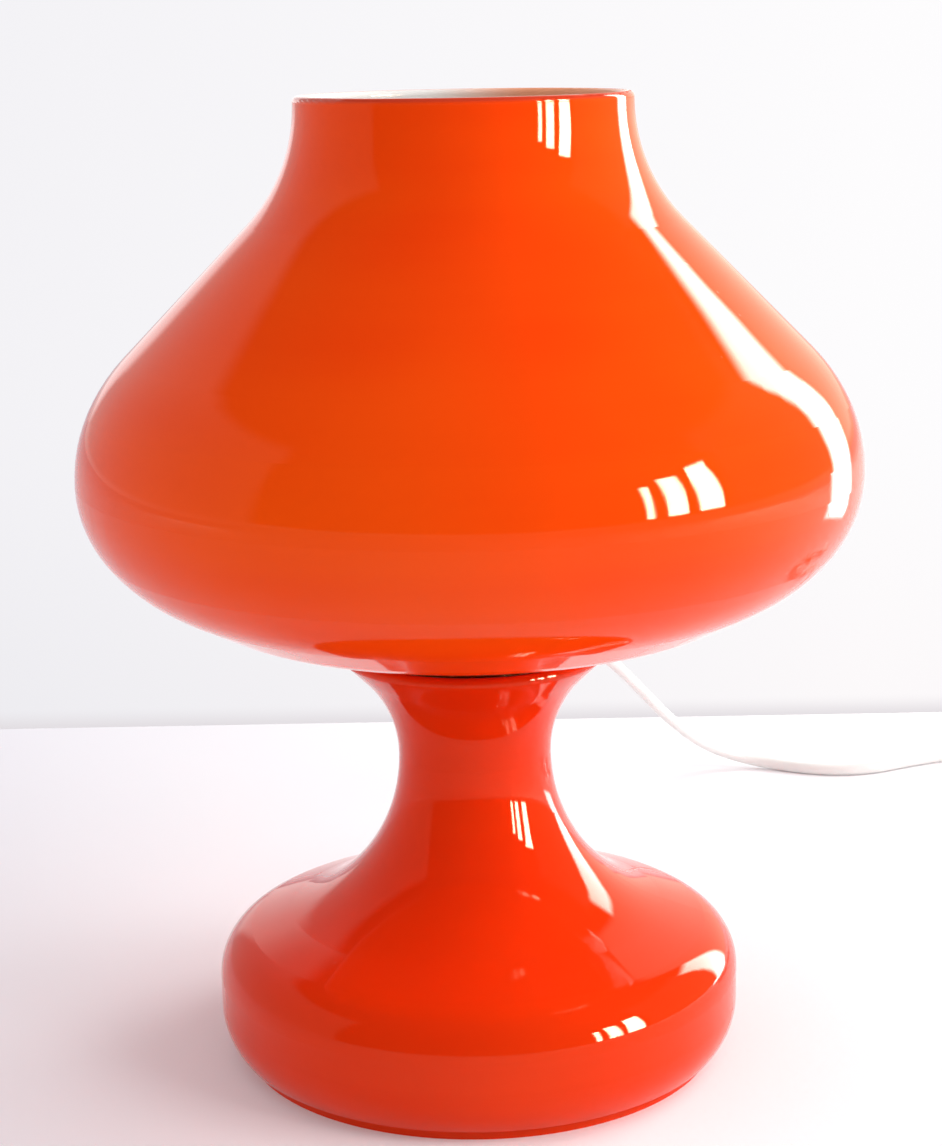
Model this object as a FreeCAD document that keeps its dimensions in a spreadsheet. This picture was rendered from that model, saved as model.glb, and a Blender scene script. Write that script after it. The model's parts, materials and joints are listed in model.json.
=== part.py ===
"""Mushroom table lamp: a blown glass base and a lift-off glass shade, with a screw bulb, an in-line
switch and a mains lead. Millimetres, +Z up, origin at the centre of the foot on the table."""

import FreeCAD
import Part

import math
import os

import Sketcher

Vector = FreeCAD.Vector
doc = FreeCAD.newDocument("MushroomLamp")
sheet = doc.addObject("Spreadsheet::Sheet", "Sizes")

# ---------------------------------------------------------------- driving dimensions

SIZES = {
    # glass shade, from the mouth down to the hole that sits on the base
    "mouth_radius": 55.0,
    "mouth_collar": 2.0,
    "throat_arc": 55.0,
    "slope_angle": 44.7,
    "shoulder_arc": 61.0,
    "upper_belly_arc": 52.0,
    "upper_belly_turn": 26.0,
    "belly_radius": 130.0,
    "lower_belly_arc": 39.0,
    "lower_belly_turn": 36.0,
    "under_arc": 52.5,
    "under_slope": 27.0,
    "under_flat": 16.0,
    "dish_arc": 40.0,
    "dish_slope": 16.0,
    "shade_wall": 3.6,
    "shade_hole": 33.2,
    # glass base, from the flared lip down to the foot ring
    "waist_radius": 26.0,
    "waist_height": 104.5,
    "flare_arc": 38.0,
    "flare_turn": 46.0,
    "lip_reach": 9.5,
    "trumpet_arc": 58.2,
    "trumpet_turn": 69.7,
    "ledge_length": 15.3,
    "base_shoulder_arc": 17.0,
    "base_under_arc": 21.5,
    "base_under_rise": 13.6,
    "base_wall": 4.0,
    "foot_radius": 81.0,
    "foot_height": 4.3,
    "foot_ring_width": 5.0,
    "foot_flange_radius": 69.0,
    "foot_flange_thickness": 4.0,
    "foot_rebate": 4.0,
    # gallery and its gaskets
    "gallery_sheet": 0.8,
    "gallery_radius": 38.5,
    "gallery_collar_height": 7.0,
    "gallery_floor_rise": 12.5,
    "gallery_gap": 0.6,
    "gasket_width": 3.2,
    "gasket_margin": 0.3,
    "seat_thickness": 0.8,
    "seat_width": 3.0,
    "seat_margin": 0.2,
    "lip_gap": 0.4,
    "running_gap": 0.3,
    "shade_play": 0.9,
    "fit_gap": 0.05,
    # tie rod and its nuts
    "rod_radius": 5.0,
    "rod_bore": 3.6,
    "rod_bottom": 4.0,
    "rod_top_reach": 8.0,
    "thin_nut_height": 3.0,
    "thin_nut_flats": 14.0,
    "nut_height": 6.0,
    "nut_flats": 17.0,
    "washer_thickness": 1.2,
    "washer_radius": 10.0,
    # pan under the foot
    "pan_sheet": 1.2,
    "pan_radius": 75.0,
    "pan_rise_radius": 56.0,
    "pan_rise_width": 6.0,
    "pan_height": 12.0,
    "foot_gasket_thickness": 0.6,
    # cord, its hole and strain relief
    "cord_radius": 2.5,
    "cord_rise": 22.5,
    "grommet_wall": 1.7,
    "grommet_lip": 1.4,
    "grommet_face": 41.0,
    "grommet_inner_end": 25.0,
    "relief_sleeve_wall": 1.15,
    "relief_root_wall": 2.15,
    "relief_tip_wall": 0.75,
    "relief_length": 28.0,
    "relief_groove": 0.7,
    "relief_collar": 3.0,
    "relief_inner_end": 24.0,
    "jacket_end": 16.6,
    "core_radius": 1.0,
    "core_spread": 1.25,
    # lampholder
    "holder_radius": 19.5,
    "holder_wall": 1.8,
    "holder_cap_height": 21.0,
    "holder_body_height": 29.0,
    "holder_spigot": 6.0,
    "holder_web": 1.5,
    "holder_boss": 8.0,
    "holder_boss_height": 9.0,
    "holder_lip": 2.0,
    "insert_depth": 5.0,
    "insert_flange": 4.0,
    "shell_inner": 13.45,
    "shell_sheet": 0.4,
    "shell_height": 22.0,
    "terminal_radius": 2.0,
    "terminal_height": 2.4,
    "terminal_offset": 5.0,
    "terminal_back": 9.4,
    "holder_edge": 3.0,
    "contact_sheet": 0.5,
    "contact_foot": 9.0,
    "contact_knee": 5.0,
    "contact_crest": 2.6,
    "contact_width": 5.0,
    "side_contact_height": 6.0,
    # bulb
    "bulb_radius": 30.0,
    "bulb_neck": 12.9,
    "bulb_neck_arc": 34.0,
    "bulb_wall": 0.8,
    "bulb_centre_rise": 70.0,
    "bulb_cap_radius": 13.1,
    "bulb_cap_groove": 0.7,
    "bulb_cap_sheet": 0.5,
    "bulb_cap_height": 21.0,
    "bulb_cap_skirt": 1.6,
    "bulb_tip_radius": 4.6,
    "bulb_tip_height": 1.6,
    "bulb_insulator_height": 3.6,
    "contact_rise": 4.0,
    "stem_radius": 3.4,
    "stem_height": 34.0,
    "stem_seal": 2.0,
    "filament_bow": 2.5,
    "filament_radius": 0.3,
    "lead_radius": 0.4,
    "lead_spread": 11.0,
    "thread_pitch": 3.629,
    # in-line switch
    "switch_length": 62.0,
    "switch_width": 22.0,
    "switch_corner": 8.0,
    "switch_split": 6.6,
    "switch_height": 15.0,
    "switch_wall": 1.8,
    "switch_edge": 2.4,
    "rocker_length": 20.0,
    "rocker_width": 11.0,
    "rocker_pivot": 9.6,
    "rocker_rise": 5.6,
    "rocker_dish": 1.2,
    "rocker_taper": 1.0,
    "rocker_keel": 2.4,
    "rocker_keel_half": 3.0,
    "rocker_tilt": 7.0,
    "cheek_thickness": 1.4,
    "cheek_reach": 3.0,
    "cheek_drop": 2.2,
    "rocker_gap": 0.5,
    "pin_radius": 1.0,
    "screw_radius": 1.3,
    "screw_head": 2.3,
    "screw_head_height": 1.8,
    "screw_along": 21.0,
    "screw_across": 6.4,
    "post_radius": 2.7,
    "screw_grip": 5.0,
    "screw_recess": 0.3,
    "strip_length": 5.0,
    "strip_width": 5.0,
    "strip_sheet": 0.6,
    "strip_height": 5.0,
    "strip_spacing": 6.0,
    "core_bend": 17.0,
    "core_dip": 12.0,
    "switch_jacket_end": 22.4,
    "switch_x": 269.6,
    "switch_y": 225.0,
    # plug
    "plug_length": 36.0,
    "plug_width": 35.0,
    "plug_back_width": 17.0,
    "plug_thickness": 13.7,
    "plug_edge": 2.2,
    "plug_pin_radius": 2.0,
    "plug_pin_length": 19.0,
    "plug_pin_spacing": 18.6,
    "plug_sleeve_length": 10.0,
    "plug_relief_length": 20.0,
    "plug_sleeve_wall": 0.5,
    "plug_taper_length": 14.0,
    "plug_cord_depth": 8.0,
    "plug_x": 346.4,
    "plug_y": 214.0,
    # put-away coil
    "coil_outer": 38.4,
    "coil_gap": 0.6,
    "coil_turns": 3.0,
    "coil_clearance": 1.2,
    "tie_sheet": 0.8,
    "tie_width": 6.0,
    "tie_gap": 0.2,
    "tie_inner_gap": 0.8,
}

for row, (alias, number) in enumerate(SIZES.items(), start=1):
    sheet.set(f"A{row}", alias)
    sheet.set(f"B{row}", str(number))
    sheet.setAlias(f"B{row}", alias)
doc.recompute()


RELIEF_GROOVES = 4
BULB_THREADS = 5


class Dim:
    """A size that keeps both its number and the formula that ties it to the sheet."""

    def __init__(self, value, text):
        self.value = float(value)
        self.text = text

    def __add__(self, other):
        other = dim(other)
        return Dim(self.value + other.value, f"({self.text} + {other.text})")

    def __sub__(self, other):
        other = dim(other)
        return Dim(self.value - other.value, f"({self.text} - {other.text})")

    def __mul__(self, other):
        other = dim(other)
        return Dim(self.value * other.value, f"({self.text} * {other.text})")

    def __truediv__(self, other):
        other = dim(other)
        return Dim(self.value / other.value, f"({self.text} / {other.text})")

    def __neg__(self):
        return Dim(0, "0") - self

    __radd__ = __add__
    __rmul__ = __mul__

    def __rsub__(self, other):
        return dim(other) - self


def dim(number):
    return number if isinstance(number, Dim) else Dim(number, repr(float(number)))


def size(alias):
    return Dim(sheet.get(alias), f"Sizes.{alias}")


def sine(angle):
    return Dim(math.sin(math.radians(angle.value)), f"sin({angle.text})")


def cosine(angle):
    return Dim(math.cos(math.radians(angle.value)), f"cos({angle.text})")


def tangent(angle):
    return Dim(math.tan(math.radians(angle.value)), f"tan({angle.text})")


def root(square):
    return Dim(math.sqrt(square.value), f"sqrt({square.text})")


def reach(radius, rise):
    """The run along a circle of this radius at this rise from its centre."""
    return root(radius * radius - rise * rise)


# ---------------------------------------------------------------- builders

NODES = []


def keep(obj, label):
    """Marks an object as a finished sub-part under its own label."""
    obj.Label = label
    NODES.append(obj)
    return obj


def origin_plane(body, role):
    return next(f for f in body.Origin.OriginFeatures if f.Role == role)


def pin_point(sketch, geo, pos, x, y):
    """Fixes one point of a sketch at sizes from the sheet."""
    for kind, axis, along in (("DistanceX", -2, x), ("DistanceY", -1, y)):
        if along.text == "0.0":
            sketch.addConstraint(Sketcher.Constraint("PointOnObject", geo, pos, axis))
        else:
            index = sketch.addConstraint(Sketcher.Constraint(kind, -1, 1, geo, pos, along.value))
            sketch.setExpression(f"Constraints[{index}]", along.text)


def arc_through(start, end, radius, left):
    """The arc of under half a turn from start to end with its centre on that side of the way."""
    chord = end - start
    half = chord.Length / 2
    across = Vector(-chord.y, chord.x, 0).normalize() * (1 if left else -1)
    centre = (start + end) / 2 + across * math.sqrt(max(radius * radius - half * half, 0))
    middle = centre - across * radius
    return Part.Arc(start, middle, end)


def circle(x, y, radius):
    """A full circle as an outline of its own."""
    return ("circle", dim(x), dim(y), dim(radius))


def draw_circle(sketch, x, y, radius):
    centre = Vector(x.value, y.value, 0)
    geo = sketch.addGeometry(Part.Circle(centre, Vector(0, 0, 1), radius.value))
    pin_point(sketch, geo, 3, x, y)
    index = sketch.addConstraint(Sketcher.Constraint("Radius", geo, radius.value))
    sketch.setExpression(f"Constraints[{index}]", radius.text)


def draw(sketch, outline):
    """Draws a closed outline. A corner is (x, y), or (x, y, radius, left) for an arc that ends there."""
    if outline[0] == "circle":
        draw_circle(sketch, *outline[1:])
        return
    corners = [(dim(c[0]), dim(c[1])) for c in outline]
    spots = [Vector(x.value, y.value, 0) for x, y in corners]
    count = len(outline)
    lines = []
    for i in range(count):
        start, end, to = spots[i], spots[(i + 1) % count], outline[(i + 1) % count]
        if len(to) == 4:
            geo = sketch.addGeometry(arc_through(start, end, dim(to[2]).value, to[3]))
            forward = (sketch.getPoint(geo, 1) - start).Length < (sketch.getPoint(geo, 2) - start).Length
            lines.append((geo, 1 if forward else 2, 2 if forward else 1, dim(to[2])))
        else:
            geo = sketch.addGeometry(Part.LineSegment(start, end))
            lines.append((geo, 1, 2, None))
    for i, (geo, start, end, radius) in enumerate(lines):
        following = lines[(i + 1) % count]
        sketch.addConstraint(Sketcher.Constraint("Coincident", geo, end, following[0], following[1]))
        pin_point(sketch, geo, start, *corners[i])
        if radius is not None:
            index = sketch.addConstraint(Sketcher.Constraint("Radius", geo, radius.value))
            sketch.setExpression(f"Constraints[{index}]", radius.text)


def new_sketch(body, name, role, offset=None):
    sketch = body.newObject("Sketcher::SketchObject", name)
    sketch.AttachmentSupport = [(origin_plane(body, role), "")]
    sketch.MapMode = "FlatFace"
    if offset is not None:
        sketch.setExpression(".AttachmentOffset.Base.z", offset.text)
    return sketch


def revolve(body, name, outline, kind="PartDesign::Revolution"):
    sketch = new_sketch(body, name + "_outline", "XZ_Plane")
    draw(sketch, outline)
    turn = body.newObject(kind, name)
    turn.Profile = sketch
    turn.ReferenceAxis = (sketch, ["V_Axis"])
    turn.Angle = 360
    sketch.Visibility = False
    return turn


def turned(label, outline):
    """A sub-part made by turning one outline (radius, height) about the lamp's axis."""
    body = doc.addObject("PartDesign::Body", label)
    revolve(body, label + "_turn", outline)
    return keep(body, label)


def draw_all(sketch, outlines):
    for outline in outlines:
        draw(sketch, outline)


def pad(body, name, outlines, length, role="XY_Plane", offset=None, middle=False, up=True):
    sketch = new_sketch(body, name + "_outline", role, offset)
    draw_all(sketch, outlines)
    feature = body.newObject("PartDesign::Pad", name)
    feature.Profile = sketch
    feature.setExpression("Length", length.text)
    feature.Midplane = middle
    feature.Reversed = not up
    sketch.Visibility = False
    return feature


def pocket(body, name, outlines, length, role="XY_Plane", offset=None, middle=False, up=True):
    """Cuts outlines out of a body, towards the plane's positive side when up is true."""
    doc.recompute()
    before = body.Shape.Volume
    sketch = new_sketch(body, name + "_outline", role, offset)
    draw_all(sketch, outlines)
    feature = body.newObject("PartDesign::Pocket", name)
    feature.Profile = sketch
    feature.setExpression("Length", length.text)
    feature.Midplane = middle
    feature.Reversed = up
    sketch.Visibility = False
    doc.recompute()
    if not body.Shape.Volume < before - 1e-6:
        raise RuntimeError(f"{name} cuts nothing")
    return feature


def soften(body, name, radius, wanted):
    """Rounds the edges of a body's last feature that are wanted."""
    doc.recompute()
    last = body.Tip
    edges = [f"Edge{i + 1}" for i, edge in enumerate(body.Shape.Edges) if wanted(edge)]
    fillet = body.newObject("PartDesign::Fillet", name)
    fillet.Base = (last, edges)
    fillet.setExpression("Radius", radius.text)
    return fillet


def hexagon(flats):
    """The corners of a hexagon of this width across its flats."""
    apothem = flats / 2
    corner = flats / math.sqrt(3)
    half = corner / 2
    return [
        (corner, 0),
        (half, apothem),
        (-half, apothem),
        (-corner, 0),
        (-half, -apothem),
        (half, -apothem),
    ]


def rounded(length, width, corner):
    """A rectangle about the origin with rounded corners."""
    x, y = length / 2, width / 2
    outline = []
    for sx, sy in ((1, 1), (-1, 1), (-1, -1), (1, -1)):
        side = (x * sx, (y - corner) * sy)
        top = ((x - corner) * sx, y * sy)
        first, second = (side, top) if sx == sy else (top, side)
        outline.append(first)
        outline.append((*second, corner, True))
    return outline


def block(x0, x1, y0, y1):
    """A plain rectangle between two corners."""
    return [(x0, y0), (x1, y0), (x1, y1), (x0, y1)]


def place(obj, x=0, y=0, z=0, axis=(0, 0, 1), angle=0):
    """Puts a sub-part at a place from the sheet, turned about an axis."""
    obj.Placement = FreeCAD.Placement(
        Vector(dim(x).value, dim(y).value, dim(z).value), FreeCAD.Rotation(Vector(*axis), angle)
    )
    for name, along in (("x", x), ("y", y), ("z", z)):
        obj.setExpression(f".Placement.Base.{name}", dim(along).text)
    return obj


def primitive(kind, name, **sizes):
    """A Part primitive whose properties are tied to the sheet."""
    obj = doc.addObject(f"Part::{kind}", name)
    for prop, along in sizes.items():
        obj.setExpression(prop, dim(along).text)
    return obj


def group(label, members):
    """Separate solids that share one node."""
    both = doc.addObject("Part::Compound", label)
    both.Links = members
    return keep(both, label)


def feature(label, shape):
    """A sub-part whose shape is made directly, because it follows a path in space."""
    obj = doc.addObject("Part::Feature", label)
    obj.Shape = shape
    return keep(obj, label)


# ---------------------------------------------------------------- paths in space


def rounded_route(points, label):
    """Straight runs joined by the largest tangent arcs that they allow."""
    spots = [Vector(*p) for p in points]
    edges, radii = [], []
    last = spots[0]
    for before, corner, after in zip(spots, spots[1:], spots[2:]):
        into, out = corner - before, after - corner
        turn = into.getAngle(out)
        cut = 0.45 * min(into.Length, out.Length)
        start = corner - into.normalize() * cut
        end = corner + out.normalize() * cut
        radius = cut / math.tan(turn / 2)
        inward = ((start + end) / 2 - corner).normalize()
        middle = corner + inward * (radius / math.cos(turn / 2) - radius)
        edges.append(Part.LineSegment(last, start).toShape())
        edges.append(Part.Arc(start, middle, end).toShape())
        radii.append(radius)
        last = end
    edges.append(Part.LineSegment(last, spots[-1]).toShape())
    if radii:
        print(f"{label}: radii {', '.join(f'{r:.0f}' for r in radii)} mm")
    return Part.Wire(edges)


def sweep(path, radius, label):
    """A round section along a path, with its volume compared with section times length."""
    start = path.OrderedEdges[0]
    heading = start.tangentAt(start.FirstParameter)
    section = Part.Wire(Part.Circle(start.firstVertex().Point, heading, radius).toShape())
    solid = path.makePipeShell([section], True, False)
    wanted = math.pi * radius * radius * path.Length
    if abs(solid.Volume - wanted) > 0.01 * wanted:
        raise RuntimeError(f"{label}: volume {solid.Volume:.0f}, wanted {wanted:.0f}")
    print(f"{label}: length {path.Length:.1f} mm")
    return solid


def tube(points, radius, label):
    return sweep(rounded_route(points, label), radius, label)


def biarc(start, heading, end, leaving):
    """Two tangent arcs from one point and direction to another."""
    chord = end - start
    both = heading + leaving
    slack = 2 * (1 - heading.dot(leaving))
    way = chord.dot(both)
    if slack < 1e-9:
        handle = chord.dot(chord) / (4 * chord.dot(leaving))
    else:
        handle = (-way + math.sqrt(way * way + slack * chord.dot(chord))) / slack
    one, two = start + heading * handle, end - leaving * handle
    join = (one + two) / 2
    return [arc_from(start, one, join), arc_from(join, two, end)]


def arc_from(start, corner, end):
    """The arc from start to end that is tangent to both legs of the corner."""
    middle = (start + end) / 2
    leg, rise = (corner - start).Length, (corner - middle).Length
    half = (end - start).Length / 2
    if rise < 1e-7:
        return Part.LineSegment(start, end).toShape()
    radius = leg * half / rise
    sagitta = radius - math.sqrt(radius * radius - half * half)
    crest = middle + (corner - middle).normalize() * sagitta
    return Part.Arc(start, crest, end).toShape()


# ---------------------------------------------------------------- derived sizes

wall = size("base_wall")
flare_centre = (size("waist_radius") + size("flare_arc"), size("waist_height"))
trumpet_centre = (size("waist_radius") + size("trumpet_arc"), size("waist_height"))


def on_flare(radius, along=0):
    """A point at the end of the flare's curve, or this far up the straight run to the lip."""
    opening = size("flare_turn")
    end = flare_centre[0] - radius * cosine(opening), flare_centre[1] + radius * sine(opening)
    return end[0] + sine(opening) * along, end[1] + cosine(opening) * along


lip_middle = on_flare(size("flare_arc") + wall / 2, size("lip_reach"))
# the highest circle of the lip, on a cone at the slope of the shade's underside
lip_crest = (
    lip_middle[0] - wall / 2 * sine(size("dish_slope")),
    lip_middle[1] + wall / 2 * cosine(size("dish_slope")),
)


def seat_height(radius, lift):
    """The height at a radius of the cone that lies this far above the lip."""
    slope = size("dish_slope")
    return lip_crest[1] + (radius - lip_crest[0]) * tangent(slope) + lift / cosine(slope)


# the shade hangs just clear of the lip, on a seat that lies inside the flare
lift_shade = size("lip_gap")
lift_seat = lift_shade - size("running_gap")
lift_gallery = lift_seat - size("seat_thickness")
lift_flange = lift_gallery - size("gallery_sheet")

cord_height = size("waist_height") + size("cord_rise")
jacket_hole = size("cord_radius") + size("fit_gap")
relief_sleeve = jacket_hole + size("relief_sleeve_wall")
relief_root = jacket_hole + size("relief_root_wall")
relief_tip = jacket_hole + size("relief_tip_wall")
glass_hole = relief_sleeve + size("grommet_wall")
grommet_radius = glass_hole + size("grommet_lip")
coil_pitch = size("cord_radius") * 2 + size("coil_gap")
coil_bottom = size("cord_radius") + size("coil_clearance")

gallery_floor = size("waist_height") + size("gallery_floor_rise")
gallery_top = gallery_floor + size("gallery_sheet")
rod_hole = size("rod_radius") + size("fit_gap")
holder_bottom = gallery_top + size("washer_thickness") + size("thin_nut_height")
holder_split = holder_bottom + size("holder_cap_height")
holder_top = holder_split + size("holder_body_height")
insert_top = holder_split + size("insert_flange")
bulb_bottom = insert_top + size("contact_rise") + size("running_gap")

# ---------------------------------------------------------------- glass


def glass_shade():
    skin = size("shade_wall")
    half = skin / 2
    slope, turn = size("slope_angle"), size("upper_belly_turn")
    dish, dive = size("dish_slope"), size("lower_belly_turn")
    upper, shoulder = size("upper_belly_arc"), size("shoulder_arc")
    lower, under = size("lower_belly_arc"), size("under_arc")
    fall, flat, hollow = size("under_slope"), size("under_flat"), size("dish_arc")
    throat, mouth, belly = size("throat_arc"), size("mouth_radius"), size("belly_radius")
    # the underside's inner cone sets how high the belly is
    hem = belly - lower + (lower - under) * cosine(dive) + (under - hollow) * sine(fall) - flat * cosine(fall)
    dish_centre = (hem, seat_height(hem + hollow * sine(dish), lift_shade) + hollow * cosine(dish))
    below = (
        belly - lower + (lower - under) * cosine(dive),
        dish_centre[1] + flat * sine(fall) + (under - hollow) * cosine(fall),
    )
    height = below[1] + (lower - under) * sine(dive)
    above = (belly - upper + (upper - shoulder) * cosine(turn), height + (upper - shoulder) * sine(turn))
    brow = (above[0] + shoulder * cosine(slope), above[1] + shoulder * sine(slope))
    rise = (brow[0] - mouth - throat + throat * cosine(slope)) / tangent(slope)
    throat_height = brow[1] + throat * sine(slope) + rise
    top = throat_height + size("mouth_collar")

    def on(centre, radius, angle, down=False):
        lift = radius * sine(angle)
        return (centre[0] + radius * cosine(angle), centre[1] - lift if down else centre[1] + lift)

    upper_centre, lower_centre = (belly - upper, height), (belly - lower, height)
    throat_centre = (mouth + throat, throat_height)
    steep, steeper = 90 - fall, 90 - dish
    hole_middle = size("shade_hole") + half
    hole = (hole_middle, seat_height(hole_middle + half * sine(dish), lift_shade) + half * cosine(dish))
    outline = [
        (mouth, top - half, half, False),
        (mouth, throat_height),
        (*on(throat_centre, -throat, slope), throat, True),
        on(above, shoulder, slope),
        (*on(upper_centre, upper, turn), shoulder, False),
        (belly, height, upper, False),
        (*on(lower_centre, lower, dive, True), lower, False),
        (*on(below, under, steep, True), under, False),
        on(dish_centre, hollow, steep, True),
        (*on(dish_centre, hollow, steeper, True), hollow, False),
        (hole[0] + half * sine(dish), hole[1] - half * cosine(dish)),
        (hole[0] - half * cosine(dish), hole[1] - half * sine(dish), half, False),
        (hole[0] - half * sine(dish), hole[1] + half * cosine(dish), half, False),
        on(dish_centre, hollow - skin, steeper, True),
        (*on(dish_centre, hollow - skin, steep, True), hollow - skin, True),
        on(below, under - skin, steep, True),
        (*on(lower_centre, lower - skin, dive, True), under - skin, True),
        (belly - skin, height, lower - skin, True),
        (*on(upper_centre, upper - skin, turn), upper - skin, True),
        (*on(above, shoulder - skin, slope), shoulder - skin, True),
        on(throat_centre, -(throat + skin), slope),
        (mouth - skin, throat_height, throat + skin, False),
        (mouth - skin, top - half),
        (mouth - half, top, half, False),
    ]
    print(f"lamp height {top.value:.1f} mm, belly at {height.value:.1f} mm, hole at {hole[1].value:.1f} mm")
    return turned("glass_shade", outline)


def cord_hole(body, name, radius, start=0):
    """The hole for the cord, straight through the back of a turned sub-part."""
    hole = circle(0, cord_height, radius)
    pocket(body, name, [hole], size("grommet_face") * 2, "XZ_Plane", offset=-dim(start), up=False)


def glass_base():
    waist, height = size("waist_radius"), size("waist_height")
    flare, trumpet = size("flare_arc"), size("trumpet_arc")
    opening, spread, reached = size("flare_turn"), size("trumpet_turn"), size("lip_reach")
    shoulder, under = size("base_shoulder_arc"), size("base_under_arc")
    foot, bottom = size("foot_radius"), size("foot_height")
    ledge = (
        trumpet_centre[0] - trumpet * cosine(spread) + size("ledge_length") * sine(spread),
        height - trumpet * sine(spread) - size("ledge_length") * cosine(spread),
    )
    shoulder_centre = (ledge[0] - shoulder * cosine(spread), ledge[1] - shoulder * sine(spread))
    side = shoulder_centre[0] + shoulder
    under_centre = (side - under, bottom + size("base_under_rise"))
    inside = foot - size("foot_ring_width")
    flange_top = size("foot_rebate") + size("foot_flange_thickness")
    outline = [
        (*on_flare(flare, reached), wall / 2, False),
        on_flare(flare),
        (waist, height, flare, True),
        (trumpet_centre[0] - trumpet * cosine(spread), height - trumpet * sine(spread), trumpet, True),
        ledge,
        (side, shoulder_centre[1], shoulder, False),
        (side, under_centre[1]),
        (under_centre[0] + reach(under, size("base_under_rise")), bottom, under, False),
        (foot, bottom),
        (foot, 0),
        (inside, 0),
        (inside, size("foot_rebate")),
        (size("foot_flange_radius"), size("foot_rebate")),
        (size("foot_flange_radius"), flange_top),
        (under_centre[0] + reach(under - wall, under_centre[1] - flange_top), flange_top),
        (side - wall, under_centre[1], under - wall, True),
        (side - wall, shoulder_centre[1]),
        (
            shoulder_centre[0] + (shoulder - wall) * cosine(spread),
            shoulder_centre[1] + (shoulder - wall) * sine(spread),
            shoulder - wall,
            True,
        ),
        (
            trumpet_centre[0] - (trumpet + wall) * cosine(spread),
            height - (trumpet + wall) * sine(spread),
        ),
        (waist - wall, height, trumpet + wall, False),
        (*on_flare(flare + wall), flare + wall, False),
        on_flare(flare + wall, reached),
        (
            lip_middle[0] + wall / 2 * sine(opening),
            lip_middle[1] + wall / 2 * cosine(opening),
            wall / 2,
            False,
        ),
    ]
    body = turned("glass_base", outline)
    cord_hole(body, "base_cord_hole", glass_hole)
    return body


# ---------------------------------------------------------------- gallery and gaskets


def gallery():
    sheet_metal, rim = size("gallery_sheet"), size("gallery_radius")
    collar = size("shade_hole") - size("shade_play")
    bore = collar - sheet_metal
    low = size("flare_arc") + wall + size("gallery_gap")
    high = low + sheet_metal
    height, rise = size("waist_height"), size("gallery_floor_rise")
    collar_top = seat_height(collar, lift_gallery) + size("gallery_collar_height")
    outline = [
        (rim, seat_height(rim, lift_flange)),
        (collar, seat_height(collar, lift_flange)),
        (collar, height + reach(low, flare_centre[0] - collar)),
        (flare_centre[0] - reach(low, rise), gallery_floor, low, True),
        (rod_hole, gallery_floor),
        (rod_hole, gallery_top),
        (flare_centre[0] - reach(high, rise + sheet_metal), gallery_top),
        (bore, height + reach(high, flare_centre[0] - bore), high, False),
        (bore, collar_top),
        (collar, collar_top),
        (collar, seat_height(collar, lift_gallery)),
        (rim, seat_height(rim, lift_gallery)),
    ]
    body = turned("gallery_cup", outline)
    cord_hole(body, "gallery_cord_hole", glass_hole)
    # the gasket fills the wedge between the flange and the flare's straight inside
    outer = rim - size("gasket_margin")
    inner = outer - size("gasket_width")
    inside, slope = on_flare(size("flare_arc") + wall), tangent(size("flare_turn"))
    turned(
        "lip_gasket",
        [
            (inner, inside[1] + (inner - inside[0]) / slope),
            (outer, inside[1] + (outer - inside[0]) / slope),
            (outer, seat_height(outer, lift_flange)),
            (inner, seat_height(inner, lift_flange)),
        ],
    )
    outer = rim - size("seat_margin")
    inner = outer - size("seat_width")
    turned(
        "shade_seat_ring",
        [
            (inner, seat_height(inner, lift_gallery)),
            (outer, seat_height(outer, lift_gallery)),
            (outer, seat_height(outer, lift_seat)),
            (inner, seat_height(inner, lift_seat)),
        ],
    )


# ---------------------------------------------------------------- tie rod and pan


def washer(label, bottom):
    ring = size("washer_radius")
    top = bottom + size("washer_thickness")
    return turned(label, [(rod_hole, bottom), (ring, bottom), (ring, top), (rod_hole, top)])


def nut(label, flats, height, bottom):
    body = doc.addObject("PartDesign::Body", label)
    pad(body, label + "_hexagon", [hexagon(flats)], height)
    pocket(body, label + "_bore", [circle(0, 0, rod_hole)], height)
    keep(body, label)
    return place(body, z=bottom)


def tie_rod():
    bottom, top = size("rod_bottom"), holder_bottom + size("rod_top_reach")
    rod, bore = size("rod_radius"), size("rod_bore")
    turned("tie_rod", [(bore, bottom), (rod, bottom), (rod, top), (bore, top)])
    washer("gallery_washer", gallery_top)
    nut_seat = gallery_top + size("washer_thickness")
    nut("gallery_nut", size("thin_nut_flats"), size("thin_nut_height"), nut_seat)
    pan_centre = size("pan_height") - size("washer_thickness")
    washer("pan_washer", pan_centre)
    nut("pan_nut", size("nut_flats"), size("nut_height"), pan_centre - size("nut_height"))


def foot_pan():
    gauge = size("pan_sheet")
    rim_top = size("foot_rebate") - size("foot_gasket_thickness")
    rim, rise = size("pan_radius"), size("pan_rise_radius")
    foot = rise - size("pan_rise_width")
    centre = size("pan_height")
    turned(
        "foot_pan",
        [
            (rod_hole, centre),
            (foot, centre),
            (rise, rim_top - gauge),
            (rim, rim_top - gauge),
            (rim, rim_top),
            (rise + gauge / 2, rim_top),
            (foot + gauge / 2, centre + gauge),
            (rod_hole, centre + gauge),
        ],
    )
    inner = size("foot_flange_radius") + size("fit_gap")
    turned(
        "foot_gasket",
        [(inner, rim_top), (rim, rim_top), (rim, size("foot_rebate")), (inner, size("foot_rebate"))],
    )


# ---------------------------------------------------------------- cord exit


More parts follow.
